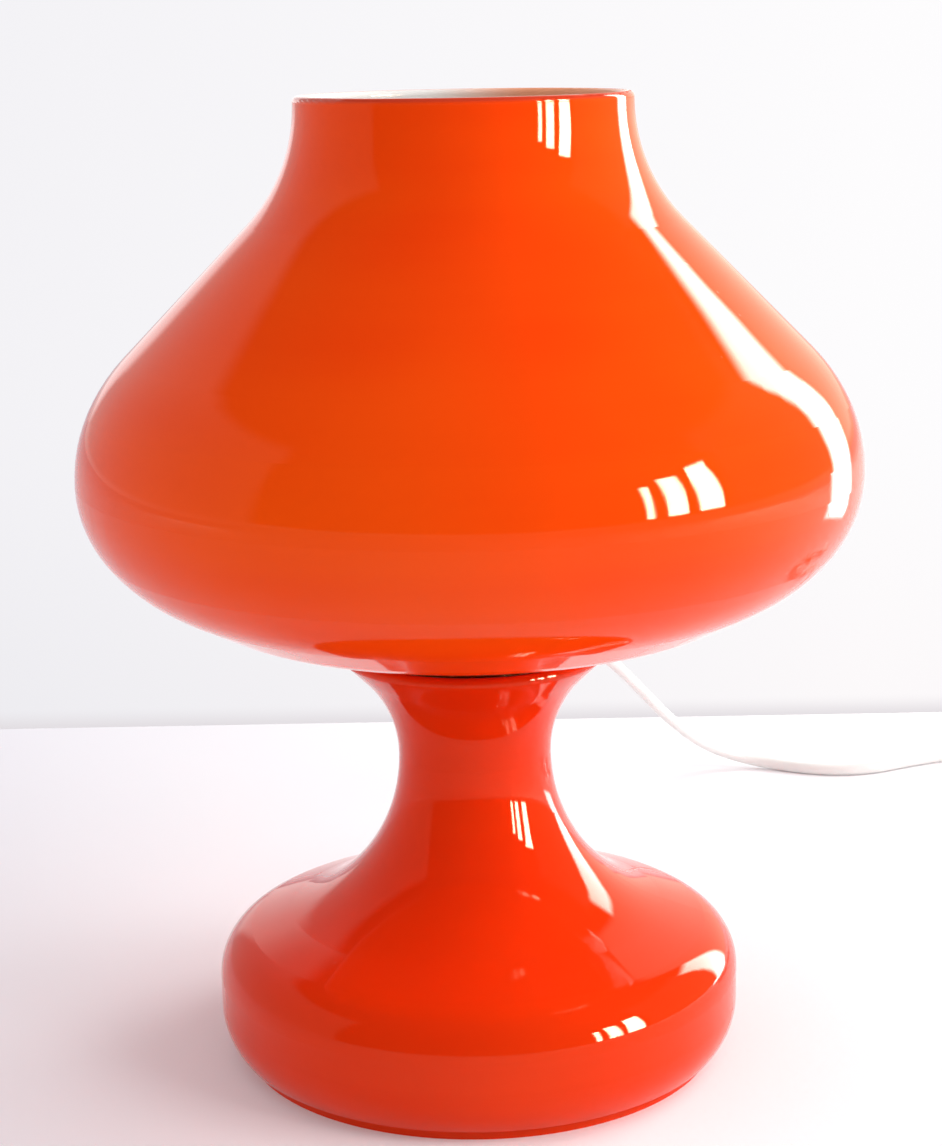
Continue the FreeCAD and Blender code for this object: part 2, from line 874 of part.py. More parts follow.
def cord_exit():
    radius, height, face = size("cord_radius"), cord_height, size("grommet_face")
    neck = glass_hole - size("fit_gap") * 2
    inner_end = size("grommet_inner_end")
    # what the grommet's outer flange rests on: the neck's outer surface, filled
    core = doc.addObject("PartDesign::Body", "neck_form")
    flare = size("flare_arc")
    rim = on_flare(flare, size("lip_reach"))
    revolve(
        core,
        "neck_form_turn",
        [
            (0, size("waist_height")),
            (size("waist_radius"), size("waist_height")),
            (*on_flare(flare), flare, False),
            rim,
            (0, rim[1]),
        ],
    )
    along = {"axis": (1, 0, 0), "angle": -90}
    flange = primitive("Cylinder", "grommet_disc", Radius=grommet_radius, Height=face - inner_end)
    place(flange, y=inner_end, z=height, **along)
    outside = doc.addObject("Part::Cut", "grommet_flange")
    outside.Base, outside.Tool = flange, core
    sleeve = primitive("Cylinder", "grommet_sleeve", Radius=neck, Height=face - inner_end)
    place(sleeve, y=inner_end, z=height, **along)
    whole = doc.addObject("Part::MultiFuse", "grommet_whole")
    whole.Shapes = [outside, sleeve]
    bore = primitive("Cylinder", "grommet_bore", Radius=relief_sleeve + size("fit_gap"), Height=face * 2)
    place(bore, z=height, **along)
    grommet = doc.addObject("Part::Cut", "cord_grommet")
    grommet.Base, grommet.Tool = whole, bore
    keep(grommet, "cord_grommet")

    # strain relief, turned about its own axis and laid along +Y
    hole = radius + size("fit_gap")
    sleeve_end = size("relief_inner_end") - face
    root_radius, tip, groove = relief_root, relief_tip, size("relief_groove")
    length, collar = size("relief_length"), size("relief_collar")
    outline = [(hole, sleeve_end), (relief_sleeve, sleeve_end), (relief_sleeve, 0)]
    outline += [(root_radius, 0), (root_radius, collar)]
    steps = RELIEF_GROOVES * 2 + 1
    for i in range(1, steps):
        along_tail = collar + (length - collar) * (i / steps)
        full = root_radius - (root_radius - tip) * (i / steps)
        cut = full - groove
        step = [(full, along_tail), (cut, along_tail)]
        outline += step if i % 2 else step[::-1]
    outline += [(tip, length), (hole, length)]
    relief = turned("strain_relief", outline)
    place(relief, y=face, z=height, axis=(1, 0, 0), angle=-90)

    start, end = size("jacket_end"), face + length
    jacket = primitive("Cylinder", "cord_inner_end", Radius=radius, Height=end - start)
    keep(place(jacket, y=start, z=height, axis=(1, 0, 0), angle=-90), "cord_inner_end")


def holder_cores():
    """The two cores, from the end of the jacket up to the terminals."""
    z, spread, play = cord_height.value, size("core_spread").value, size("fit_gap").value
    y = size("jacket_end").value - play * 2
    top = (holder_split - size("insert_depth") - size("terminal_height")).value - play * 3
    aside, back = size("terminal_offset").value, size("terminal_back").value
    solids = []
    for side in (-1, 1):
        points = [
            (spread * side, y, z),
            (spread * 1.3 * side, y - 4, z),
            (aside * 0.88 * side, back + 0.2, (z + top) / 2),
            (aside * side, back, top),
        ]
        solids.append(tube(points, size("core_radius").value, "holder core"))
    feature("holder_cores", Part.makeCompound(solids))


# ---------------------------------------------------------------- lampholder


def lampholder():
    radius, skin = size("holder_radius"), size("holder_wall")
    bottom, split, top = holder_bottom, holder_split, holder_top
    edge, boss = size("holder_edge"), size("holder_boss")
    bore = radius - skin
    cap = turned(
        "holder_cap",
        [
            (rod_hole, bottom),
            (radius - edge, bottom),
            (radius, bottom + edge, edge, True),
            (radius, split),
            (bore, split),
            (bore, bottom + skin),
            (boss, bottom + skin),
            (boss, bottom + size("holder_boss_height")),
            (rod_hole, bottom + size("holder_boss_height")),
        ],
    )
    cord_hole(cap, "cap_cord_hole", size("cord_radius") + size("fit_gap"), boss)
    spigot = bore - size("fit_gap")
    ledge, web = spigot - skin, split + size("holder_web")
    lip = size("shell_inner") + size("shell_sheet") + size("running_gap") * 2
    turned(
        "holder_body",
        [
            (ledge, split - size("holder_spigot")),
            (spigot, split - size("holder_spigot")),
            (spigot, split),
            (radius, split),
            (radius, top - edge / 2),
            (radius - edge / 2, top, edge / 2, True),
            (lip, top),
            (lip, top - size("holder_lip")),
            (bore, top - size("holder_lip")),
            (bore, web),
            (ledge, web),
        ],
    )
    flange = bore - size("fit_gap")
    plug = ledge - size("fit_gap")
    turned(
        "porcelain_insert",
        [
            (0, split - size("insert_depth")),
            (plug, split - size("insert_depth")),
            (plug, web),
            (flange, web),
            (flange, insert_top),
            (0, insert_top),
        ],
    )
    shell, metal = size("shell_inner"), size("shell_sheet")
    shell_top = insert_top + size("shell_height")
    turned(
        "screw_shell",
        [
            (shell, insert_top),
            (shell + metal, insert_top),
            (shell + metal, shell_top),
            (shell, shell_top),
        ],
    )
    rise, strip = size("contact_rise"), size("contact_sheet")
    centre = doc.addObject("PartDesign::Body", "centre_contact")
    foot, knee, crest = size("contact_foot"), size("contact_knee"), size("contact_crest")
    outline = [
        (-foot, 0),
        (-knee, 0),
        (-crest, rise - strip),
        (crest, rise - strip),
        (knee, 0),
        (foot, 0),
        (foot, strip),
        (knee + strip, strip),
        (crest + strip / 2, rise),
        (-(crest + strip / 2), rise),
        (-(knee + strip), strip),
        (-foot, strip),
    ]
    pad(centre, "contact_strip", [outline], size("contact_width"), "XZ_Plane", middle=True)
    keep(place(centre, z=insert_top), "centre_contact")
    side = primitive(
        "Box",
        "side_contact",
        Length=strip,
        Width=size("contact_width"),
        Height=size("side_contact_height"),
    )
    keep(place(side, x=shell + metal, y=-(size("contact_width") / 2), z=insert_top), "side_contact")
    heads = []
    for side_sign in (-1, 1):
        screw = primitive(
            "Cylinder",
            f"terminal_screw_{len(heads) + 1}",
            Radius=size("terminal_radius"),
            Height=size("terminal_height"),
        )
        low = split - size("insert_depth") - size("terminal_height")
        heads.append(place(screw, x=size("terminal_offset") * side_sign, y=size("terminal_back"), z=low))
    group("terminal_screws", heads)


# ---------------------------------------------------------------- bulb


def bulb():
    tip, tip_rise = size("bulb_tip_radius"), size("bulb_tip_height")
    crown = (tip * tip + tip_rise * tip_rise) / (tip_rise * 2)
    shoulder = bulb_bottom + tip_rise
    turned("bulb_tip", [(0, bulb_bottom), (tip, shoulder, crown, True), (0, shoulder)])
    cap_bottom = shoulder + size("bulb_insulator_height")
    ridge, groove, metal = size("bulb_cap_radius"), size("bulb_cap_groove"), size("bulb_cap_sheet")
    valley = ridge - groove
    turned(
        "bulb_insulator",
        [
            (0, shoulder),
            (tip + metal, shoulder),
            (valley - metal, cap_bottom),
            (0, cap_bottom),
        ],
    )
    pitch, cap_top = size("thread_pitch"), cap_bottom + size("bulb_cap_height")
    half = pitch / 2
    bulge = (half * half + groove * groove) / (groove * 2)
    outline = [(valley - metal, cap_bottom), (valley, cap_bottom)]
    for i in range(1, BULB_THREADS + 1):
        outline.append((valley, cap_bottom + pitch * i, bulge, True))
    neck = size("bulb_neck")
    glass_foot = cap_top - size("bulb_cap_skirt")
    outline += [
        (neck + metal, glass_foot),
        (neck + metal, cap_top),
        (neck + size("fit_gap"), cap_top),
        (neck + size("fit_gap"), glass_foot),
        (valley - metal, glass_foot - metal * 2),
    ]
    turned("bulb_cap", outline)

    ball, centre = size("bulb_radius"), bulb_bottom + size("bulb_centre_rise")
    sweep_in, skin = size("bulb_neck_arc"), size("bulb_wall")
    aside = neck + sweep_in
    drop = root((ball + sweep_in) * (ball + sweep_in) - aside * aside)
    share = ball / (ball + sweep_in)
    inner_share = (ball - skin) / (ball + sweep_in)
    turned(
        "bulb_glass",
        [
            (neck, glass_foot),
            (neck, centre - drop),
            (aside * share, centre - drop * share, sweep_in, False),
            (ball, centre, ball, True),
            (0, centre + ball, ball, True),
            (0, centre + ball - skin),
            (ball - skin, centre, ball - skin, False),
            (aside * inner_share, centre - drop * inner_share, ball - skin, False),
            (neck - skin, centre - drop, sweep_in + skin, True),
            (neck - skin, glass_foot),
        ],
    )
    stem, seal = size("stem_radius"), size("stem_seal")
    stem_top = glass_foot + size("stem_height")
    inner = neck - skin - size("fit_gap")
    turned(
        "bulb_stem",
        [
            (0, glass_foot),
            (inner, glass_foot),
            (inner, glass_foot + seal),
            (stem, glass_foot + seal * 3),
            (stem, stem_top),
            (0, stem_top),
        ],
    )
    wire, spread, high = size("lead_radius").value, size("lead_spread").value, centre.value
    root_x = size("stem_radius").value / 2
    leads = []
    for side in (-1, 1):
        points = [
            (root_x * side, 0, stem_top.value),
            (root_x * side, 0, stem_top.value + root_x * 3),
            (spread * side, 0, high),
        ]
        leads.append(tube(points, wire, "bulb lead"))
    feature("bulb_leads", Part.makeCompound(leads))
    bow = size("filament_bow").value
    inside = spread - wire - size("fit_gap").value * 6
    ends = [Vector(-inside, 0, high), Vector(0, 0, high + bow), Vector(inside, 0, high)]
    filament = Part.Wire([Part.Arc(*ends).toShape()])
    feature("bulb_filament", sweep(filament, size("filament_radius").value, "filament"))


# ---------------------------------------------------------------- in-line switch


def switch_place(body):
    """The switch lies along the cord: its own +X runs the way the cord goes, towards -Y."""
    return place(body, x=size("switch_x"), y=size("switch_y"), axis=(0, 0, 1), angle=-90)


def switch_screw_spots():
    along, across = size("screw_along"), size("screw_across")
    return [(-along, across), (along, -across)]


def inline_switch():
    length, width, corner = size("switch_length"), size("switch_width"), size("switch_corner")
    split, height, skin = size("switch_split"), size("switch_height"), size("switch_wall")
    outer = rounded(length, width, corner)
    inner = rounded(length - skin * 2, width - skin * 2, corner - skin)
    channel = circle(0, split, size("cord_radius") + size("fit_gap"))
    post, screw = size("post_radius"), size("screw_radius")
    spots = switch_screw_spots()

    base = doc.addObject("PartDesign::Body", "switch_base")
    pad(base, "base_outside", [outer], split - size("fit_gap"))
    pocket(base, "base_inside", [inner], split, offset=skin)
    posts = [circle(x, y, post) for x, y in spots]
    pad(base, "base_posts", posts, split - skin - size("fit_gap"), offset=skin)
    pocket(base, "base_channel", [channel], length * 2, "YZ_Plane", middle=True)
    pocket(base, "base_screw_holes", [circle(x, y, screw + size("fit_gap")) for x, y in spots], split)
    head = size("screw_head") + size("fit_gap")
    pocket(base, "base_head_holes", [circle(x, y, head) for x, y in spots], size("screw_head_height"))
    switch_place(keep(base, "switch_base"))

    cover = doc.addObject("PartDesign::Body", "switch_cover")
    pad(cover, "cover_outside", [outer], height - split, offset=split)

    def at_the_top(edge):
        return all(abs(v.Z - height.value) < 1e-6 for v in edge.Vertexes)

    soften(cover, "cover_edge", size("switch_edge"), at_the_top)
    pocket(cover, "cover_inside", [inner], height - split - skin, offset=split)
    pad(cover, "cover_posts", [circle(x, y, post) for x, y in spots], height - split - skin, offset=split)
    opening_x = size("rocker_length") / 2 + size("rocker_gap")
    opening_y = size("rocker_width") / 2 + size("rocker_gap")
    cheek, cheek_reach = size("cheek_thickness"), size("cheek_reach")
    cheek_bottom = size("rocker_pivot") - size("cheek_drop")
    cheeks = [
        block(-cheek_reach, cheek_reach, opening_y, opening_y + cheek),
        block(-cheek_reach, cheek_reach, -(opening_y + cheek), -opening_y),
    ]
    pad(cover, "cover_cheeks", cheeks, height - skin - cheek_bottom, offset=cheek_bottom)
    hole = block(-opening_x, opening_x, -opening_y, opening_y)
    pocket(cover, "cover_opening", [hole], height, offset=split)
    pocket(cover, "cover_channel", [channel], length * 2, "YZ_Plane", middle=True)
    pilot = [circle(x, y, screw + size("fit_gap")) for x, y in spots]
    pocket(cover, "cover_pilots", pilot, size("screw_grip"), offset=split)
    pivot = circle(0, size("rocker_pivot"), size("pin_radius") + size("fit_gap"))
    pocket(cover, "cover_pivot", [pivot], (opening_y + cheek) * 2, "XZ_Plane", middle=True)
    switch_place(keep(cover, "switch_cover"))

    rocker = doc.addObject("PartDesign::Body", "switch_rocker")
    reach_x, top, dip = size("rocker_length") / 2, size("rocker_rise"), size("rocker_dish")
    keel, keel_half = size("rocker_keel"), size("rocker_keel_half")
    taper = size("rocker_taper")
    outline = [
        (-keel_half, -keel),
        (keel_half, -keel),
        (reach_x - taper, 0),
        (reach_x - taper, top),
        (0, top - dip),
        (-(reach_x - taper), top),
        (-(reach_x - taper), 0),
    ]
    pad(rocker, "rocker_side", [outline], size("rocker_width"), "XZ_Plane", middle=True)
    bore = circle(0, 0, size("pin_radius") + size("fit_gap"))
    pocket(rocker, "rocker_bore", [bore], size("rocker_width") * 2, "XZ_Plane", middle=True)
    keep(rocker, "switch_rocker")
    place(rocker, x=size("switch_x"), y=size("switch_y"), z=size("rocker_pivot"))
    flat = FreeCAD.Rotation(Vector(0, 0, 1), -90)
    tilt = FreeCAD.Rotation(Vector(0, 1, 0), size("rocker_tilt").value)
    rocker.Placement.Rotation = flat.multiply(tilt)

    pin = primitive("Cylinder", "rocker_pin", Radius=size("pin_radius"), Height=(opening_y + cheek) * 2)
    place(pin, x=size("switch_x") - opening_y - cheek, y=size("switch_y"), z=size("rocker_pivot"))
    pin.Placement.Rotation = FreeCAD.Rotation(Vector(0, 1, 0), 90)
    keep(pin, "rocker_pin")

    screws = []
    for i, (x, y) in enumerate(spots):
        head_top = size("screw_head_height")
        grip = split + size("screw_grip") - head_top
        shank = primitive("Cylinder", f"screw_shank_{i}", Radius=screw, Height=grip)
        place(shank, x=x, y=y, z=head_top)
        button = primitive(
            "Cylinder",
            f"screw_head_{i}",
            Radius=size("screw_head"),
            Height=head_top - size("screw_recess"),
        )
        place(button, x=x, y=y, z=size("screw_recess"))
        joined = doc.addObject("Part::MultiFuse", f"switch_screw_{i}")
        joined.Shapes = [shank, button]
        screws.append(joined)
    switch_place(group("switch_screws", screws))

    strips = []
    for i, side in enumerate((-1, 1)):
        strip = primitive(
            "Box",
            f"switch_strip_{i}",
            Length=size("strip_length"),
            Width=size("strip_width"),
            Height=size("strip_sheet"),
        )
        middle = size("strip_spacing") * side - size("strip_length") / 2
        place(strip, x=middle, y=-(size("strip_width") / 2), z=size("strip_height"))
        strips.append(strip)
    switch_place(group("switch_contacts", strips))


def switch_cores():
    """The two cores inside the switch, dipping under the rocker from one jacket end to the other."""
    x, y = size("switch_x").value, size("switch_y").value
    spread, radius = size("core_spread").value, size("core_radius").value
    high, low = size("switch_split").value, (size("strip_height") - size("core_radius")).value
    end, bend, dip = size("switch_jacket_end").value, size("core_bend").value, size("core_dip").value
    profile = [(-end, high), (-bend, high), (-dip, low), (dip, low), (bend, high), (end, high)]
    solids = []
    for side in (-1, 1):
        points = [(x + spread * side, y - along, height) for along, height in profile]
        solids.append(tube(points, radius, "switch core"))
    feature("switch_cores", Part.makeCompound(solids))


# ---------------------------------------------------------------- plug


def plug():
    length, half = size("plug_length"), size("plug_width") / 2
    back, thick = size("plug_back_width") / 2, size("plug_thickness")
    taper = size("plug_taper_length")
    body = doc.addObject("PartDesign::Body", "plug_body")
    outline = [(0, -back), (taper, -half), (length, -half), (length, half), (taper, half), (0, back)]
    pad(body, "plug_block", [outline], thick)
    soften(body, "plug_edges", size("plug_edge"), lambda edge: True)
    bore = circle(0, thick / 2, size("cord_radius") + size("fit_gap"))
    pocket(body, "plug_cord_hole", [bore], size("plug_cord_depth"), "YZ_Plane", up=True)
    keep(body, "plug_body")
    place(body, x=size("plug_x"), y=size("plug_y"), axis=(0, 0, 1), angle=90)

    hole = size("cord_radius") + size("fit_gap")
    tail, root_radius, tip = size("plug_relief_length"), relief_root, relief_tip
    relief = turned(
        "plug_strain_relief",
        [(hole, 0), (tip, 0), (root_radius, tail), (hole, tail)],
    )
    place(relief, x=size("plug_x"), y=size("plug_y") - tail, z=thick / 2, axis=(1, 0, 0), angle=-90)

    held = tail + size("plug_cord_depth")
    inner = primitive("Cylinder", "plug_cord_end", Radius=size("cord_radius"), Height=held)
    place(inner, x=size("plug_x"), y=size("plug_y") - tail, z=thick / 2, axis=(1, 0, 0), angle=-90)
    keep(inner, "plug_cord_end")

    pins, sleeves = [], []
    pin, reach_out, cover = size("plug_pin_radius"), size("plug_pin_length"), size("plug_sleeve_length")
    core = pin - size("plug_sleeve_wall")
    for i, side in enumerate((-1, 1)):
        x = size("plug_x") + size("plug_pin_spacing") / 2 * side
        face = size("plug_y") + length
        lying = {"z": thick / 2, "axis": (1, 0, 0), "angle": -90}
        tip_part = primitive("Cylinder", f"pin_tip_{i}", Radius=pin, Height=reach_out - cover)
        place(tip_part, x=x, y=face + cover, **lying)
        stalk = primitive("Cylinder", f"pin_stalk_{i}", Radius=core, Height=cover)
        place(stalk, x=x, y=face, **lying)
        joined = doc.addObject("Part::MultiFuse", f"plug_pin_{i}")
        joined.Shapes = [stalk, tip_part]
        pins.append(joined)
        outside = primitive("Cylinder", f"sleeve_outside_{i}", Radius=pin - size("fit_gap"), Height=cover)
        place(outside, x=x, y=face, **lying)
        inside = primitive("Cylinder", f"sleeve_inside_{i}", Radius=core + size("fit_gap"), Height=cover * 3)
        place(inside, x=x, y=face - cover, **lying)
        sleeve = doc.addObject("Part::Cut", f"plug_sleeve_{i}")
        sleeve.Base, sleeve.Tool = outside, inside
        sleeves.append(sleeve)
    group("plug_pins", pins)
    group("plug_pin_sleeves", sleeves)


# ---------------------------------------------------------------- cord

# from the strain relief's tip, through the air to the table behind, and right to the switch
LEAD = [
    (0, 69, 127),
    (0.5, 90, 127),
    (7, 118, 124),
    (20, 150, 114.5),
    (38, 182, 100),
    (57, 213, 80.5),
    (72, 238, 60),
    (86, 262, 39.5),
    (101, 286, 21),
    (112.4, 297.6, 11.4),
    (124.5, 301.6, 5.7),
    (138.1, 300.1, 2.6),
    (160.3, 288.2, 2.6),
    (184, 287.4, 2.6),
    (207, 299.8, 2.6),
    (226.9, 308, 2.6),
    (240.9, 308.6, 2.6),
    (254, 303.6, 2.6),
    (264.1, 294, 2.6),
    (269.6, 281.1, 2.6),
    (269.7, 263, 6.6),
    (269.6, 247.4, 6.6),
]
# from the switch to the coil
LINK = [
    (269.6, 202.6, 6.6),
    (269.7, 187, 6.6),
    (269.6, 172, 3.7),
    (269.6, 158, 3.7),
]
# from the coil to the plug
TAIL = [
    (346.4, 158, 9.3),
    (346.5, 170, 9.3),
    (346.4, 182, 6.85),
    (346.4, 194, 6.85),
]


def coil_path():
    """Spirals in on the lower layer and out on the upper one, climbing in the half turn between them."""
    outer, pitch, lift = size("coil_outer").value, coil_pitch.value, coil_pitch.value
    bottom, turns = coil_bottom.value, size("coil_turns").value
    centre = Vector(LINK[-1][0] + outer, LINK[-1][1] - 2 * size("cord_radius").value, 0)
    quarters = round(turns * 4)
    inner = outer - pitch * turns
    stations = [(outer - pitch * q / 4, bottom, 0.0) for q in range(quarters + 1)]
    climb_slope = 1.5 * lift / (math.pi * inner)
    stations.append((inner - pitch / 4, bottom + lift / 2, climb_slope))
    stations += [(inner + pitch * q / 4, bottom + lift, 0.0) for q in range(quarters + 1)]
    spots, headings = [], []
    for i, (radius, height, slope) in enumerate(stations):
        angle = math.pi + i * math.pi / 2
        out = Vector(math.cos(angle), math.sin(angle), 0)
        onward = Vector(-math.sin(angle), math.cos(angle), 0)
        drift = 0.0
        if 0 < i < quarters:
            drift = -pitch / (2 * math.pi * radius)
        elif quarters + 2 < i < len(stations) - 1:
            drift = pitch / (2 * math.pi * radius)
        spots.append(centre + out * radius + Vector(0, 0, height))
        headings.append((onward + out * drift + Vector(0, 0, slope)).normalize())
    straight = 2 * size("cord_radius").value
    edges = [Part.LineSegment(spots[0] - headings[0] * straight, spots[0]).toShape()]
    for i in range(len(spots) - 1):
        edges += biarc(spots[i], headings[i], spots[i + 1], headings[i + 1])
    edges.append(Part.LineSegment(spots[-1], spots[-1] + headings[-1] * straight).toShape())
    return Part.Wire(edges)


def gap_to_itself(path, diameter):
    """The least gap between stretches of the path more than a quarter turn apart, on points."""
    step, apart = 1.5, 30.0
    points = path.discretize(Distance=step)
    spacing = path.Length / (len(points) - 1)
    skip = math.ceil(apart / spacing)
    least = min(
        (points[i] - points[j]).Length
        for i in range(len(points))
        for j in range(i + skip, len(points))
    )
    print(f"coil: least gap to itself {least - diameter:.2f} mm")
    if least - diameter < 0.4:
        raise RuntimeError("the coil's turns are too close")


def cord():
    radius = size("cord_radius").value
    feature("cord_lead", tube(LEAD, radius, "cord_lead"))
    feature("cord_link", tube(LINK, radius, "cord_link"))
    path = coil_path()
    gap_to_itself(path, 2 * radius)
    feature("cord_coil", sweep(path, radius, "cord_coil"))
    feature("cord_tail", tube(TAIL, radius, "cord_tail"))


def coil_tie():
    """A band round the bundle of turns, on the side towards the viewer."""
    gauge, gap, inner_gap = size("tie_sheet"), size("tie_gap"), size("tie_inner_gap")
    cord_radius, pitch = size("cord_radius"), coil_pitch
    outer = size("coil_outer") - pitch / 4 + cord_radius + gap
    inner = size("coil_outer") - pitch * size("coil_turns") - pitch / 4 - cord_radius - inner_gap
    low = coil_bottom - cord_radius - gap
    high = coil_bottom + coil_pitch + cord_radius + gap
    body = doc.addObject("PartDesign::Body", "coil_tie")
    outside = block(inner - gauge, outer + gauge, low - gauge, high + gauge)
    inside = block(inner, outer, low, high)
    pad(body, "tie_outside", [outside], size("tie_width"), "XZ_Plane", middle=True)
    pocket(body, "tie_inside", [inside], size("tie_width") * 2, "XZ_Plane", middle=True)
    keep(body, "coil_tie")
    centre_x, centre_y = dim(LINK[-1][0]) + size("coil_outer"), dim(LINK[-1][1]) - cord_radius * 2
    place(body, x=centre_x, y=centre_y, axis=(0, 0, 1), angle=-90)


# ---------------------------------------------------------------- build and write


def faults():
    """The objects that failed to compute, and the sub-parts whose shapes aren't sound."""
    bad = [o.Name for o in doc.Objects if {"Invalid", "Error"} & set(o.State)]
    bad += [o.Label for o in NODES if o.Shape.isNull() or not o.Shape.isValid()]
    return bad


def main():
    glass_base()
    glass_shade()
    gallery()
    tie_rod()
    foot_pan()
    cord_exit()
    lampholder()
    holder_cores()
    bulb()
    inline_switch()
    switch_cores()
    plug()
    cord()
    coil_tie()
    doc.recompute()
    bad = faults()
    if bad:
        raise RuntimeError(f"not sound: {', '.join(bad)}")
    os.makedirs("parts", exist_ok=True)
    for obj in NODES:
        obj.Shape.exportStep(f"parts/{obj.Label}.step")
        print(f"{obj.Label}: {len(obj.Shape.Solids)} solids, {obj.Shape.Volume / 1000:.2f} cm3")


main()
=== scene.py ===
"""Mushroom table lamp in blown orange cased glass, on a white table in front of a white wall.

Metres, +Z up, origin at the centre of the foot on the table; +Y is the back, where the cord leaves.
"""

import json
import math

import bpy
from mathutils import Matrix, Vector


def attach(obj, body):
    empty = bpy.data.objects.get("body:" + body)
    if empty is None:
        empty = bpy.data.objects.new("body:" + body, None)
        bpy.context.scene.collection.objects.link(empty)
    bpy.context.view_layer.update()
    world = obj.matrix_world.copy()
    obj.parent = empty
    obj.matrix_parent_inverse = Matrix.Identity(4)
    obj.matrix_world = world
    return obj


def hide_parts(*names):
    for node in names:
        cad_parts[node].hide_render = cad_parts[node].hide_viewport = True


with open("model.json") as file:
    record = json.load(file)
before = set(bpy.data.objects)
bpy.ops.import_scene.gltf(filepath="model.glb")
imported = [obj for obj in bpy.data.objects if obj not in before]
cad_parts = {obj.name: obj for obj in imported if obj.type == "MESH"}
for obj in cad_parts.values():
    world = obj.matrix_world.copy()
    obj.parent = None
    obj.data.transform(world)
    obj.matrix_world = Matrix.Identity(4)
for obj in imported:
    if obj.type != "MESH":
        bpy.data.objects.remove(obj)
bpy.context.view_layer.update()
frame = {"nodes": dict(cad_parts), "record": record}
NODES = frame["nodes"]
MM = 0.001


# ---------------------------------------------------------------- node helpers


class Graph:
    """Short ways to build a shader tree."""

    def __init__(self, tree):
        self.tree = tree
        tree.nodes.clear()

    def node(self, kind, **settings):
        made = self.tree.nodes.new(kind)
        for name, value in settings.items():
            setattr(made, name, value)
        return made

    def join(self, source, socket):
        self.tree.links.new(source, socket)

    def put(self, value, socket):
        """A number, colour or vector set on a socket, or another node's output linked to it."""
        if isinstance(value, bpy.types.NodeSocket):
            self.join(value, socket)
        else:
            socket.default_value = value

    def math(self, operation, *values, clamp=False):
        made = self.node("ShaderNodeMath", operation=operation, use_clamp=clamp)
        for i, value in enumerate(values):
            self.put(value, made.inputs[i])
        return made.outputs[0]

    def length(self, x, y):
        return self.math("SQRT", self.math("ADD", self.math("POWER", x, 2.0), self.math("POWER", y, 2.0)))

    def degrees(self, angle):
        return self.math("MULTIPLY", angle, 180 / math.pi)

    def split(self, vector):
        """The three numbers of a vector."""
        made = self.node("ShaderNodeSeparateXYZ")
        self.join(vector, made.inputs[0])
        return made.outputs

    def ray(self, kind):
        return self.node("ShaderNodeLightPath").outputs[kind]

    def step(self, value, edge, soft):
        """0 below the edge and 1 above it, smoothly over soft on each side."""
        made = self.node("ShaderNodeMapRange", interpolation_type="SMOOTHSTEP")
        self.put(value, made.inputs["Value"])
        made.inputs["From Min"].default_value = edge - soft
        made.inputs["From Max"].default_value = edge + soft
        return made.outputs["Result"]

    def band(self, value, low, high, soft):
        return self.math("SUBTRACT", self.step(value, low, soft), self.step(value, high, soft), clamp=True)

    def scaled(self, value, low, high, to_low, to_high):
        made = self.node("ShaderNodeMapRange")
        self.put(value, made.inputs["Value"])
        for name, number in zip(("From Min", "From Max", "To Min", "To Max"), (low, high, to_low, to_high)):
            made.inputs[name].default_value = number
        return made.outputs["Result"]

    def noise(self, vector, scale, detail=3.0, roughness=0.5):
        made = self.node("ShaderNodeTexNoise")
        self.put(vector, made.inputs["Vector"])
        made.inputs["Scale"].default_value = scale
        made.inputs["Detail"].default_value = detail
        made.inputs["Roughness"].default_value = roughness
        return made.outputs["Fac"]

    def blend(self, factor, first, second):
        made = self.node("ShaderNodeMix", data_type="RGBA")
        self.put(factor, made.inputs[0])
        self.put(first, made.inputs[6])
        self.put(second, made.inputs[7])
        return made.outputs[2]

    def shaders(self, factor, first, second):
        made = self.node("ShaderNodeMixShader")
        self.put(factor, made.inputs[0])
        self.join(first, made.inputs[1])
        self.join(second, made.inputs[2])
        return made.outputs[0]

    def stretched(self, scale):
        """Object coordinates, stretched unevenly."""
        made = self.node("ShaderNodeMapping")
        self.join(self.place("Object"), made.inputs["Vector"])
        made.inputs["Scale"].default_value = scale
        return made.outputs["Vector"]

    def place(self, kind):
        return self.node("ShaderNodeTexCoord").outputs[kind]

    def bump(self, height, distance, strength, before=None):
        made = self.node("ShaderNodeBump")
        made.inputs["Strength"].default_value = strength
        made.inputs["Distance"].default_value = distance
        self.put(height, made.inputs["Height"])
        if before is not None:
            self.join(before, made.inputs["Normal"])
        return made.outputs["Normal"]


def material(name):
    """A new material, and the graph to build it with."""
    made = bpy.data.materials.new(name)
    made.use_nodes = True
    return made, Graph(made.node_tree)


def principled(graph, **sockets):
    """A principled shader as the material's surface, with its sockets set or linked by name."""
    shader = graph.node("ShaderNodeBsdfPrincipled")
    for name, value in sockets.items():
        graph.put(value, shader.inputs[name.replace("_", " ")])
    out = graph.node("ShaderNodeOutputMaterial")
    graph.join(shader.outputs[0], out.inputs["Surface"])


def rgb(red, green, blue):
    return (red, green, blue, 1.0)


def shade(colour, factor):
    """The colour, darker by the factor."""
    return (*[min(c * factor, 1.0) for c in colour[:3]], 1.0)


# ---------------------------------------------------------------- materials


# a noise's values lie mostly between these two
MIDDLE = (0.3, 0.7)
# glass whose face turns to the axis by more than this shows its opal side
CASE_TURNS_IN = -0.3
# how much of the case's depth of colour follows its clouds, and how much its rings
CLOUD_SHARE, RING_SHARE = 0.65, 0.35
OPAL = (0.90, 0.88, 0.85, 1.0)
# per metre: the case's clouds and rings, the surface's waves and seeds, the drifts in the opal and the gloss
CLOUDS, RINGS = 9.0, (1.5, 1.5, 40.0)
WAVES, SEEDS = (14.0, 14.0, 9.0), 130.0
OPAL_DRIFT, GLOSS_DRIFT = 25.0, 60.0
WAVE_DEPTH, SEED_DEPTH = 1.6 * MM, 0.06 * MM
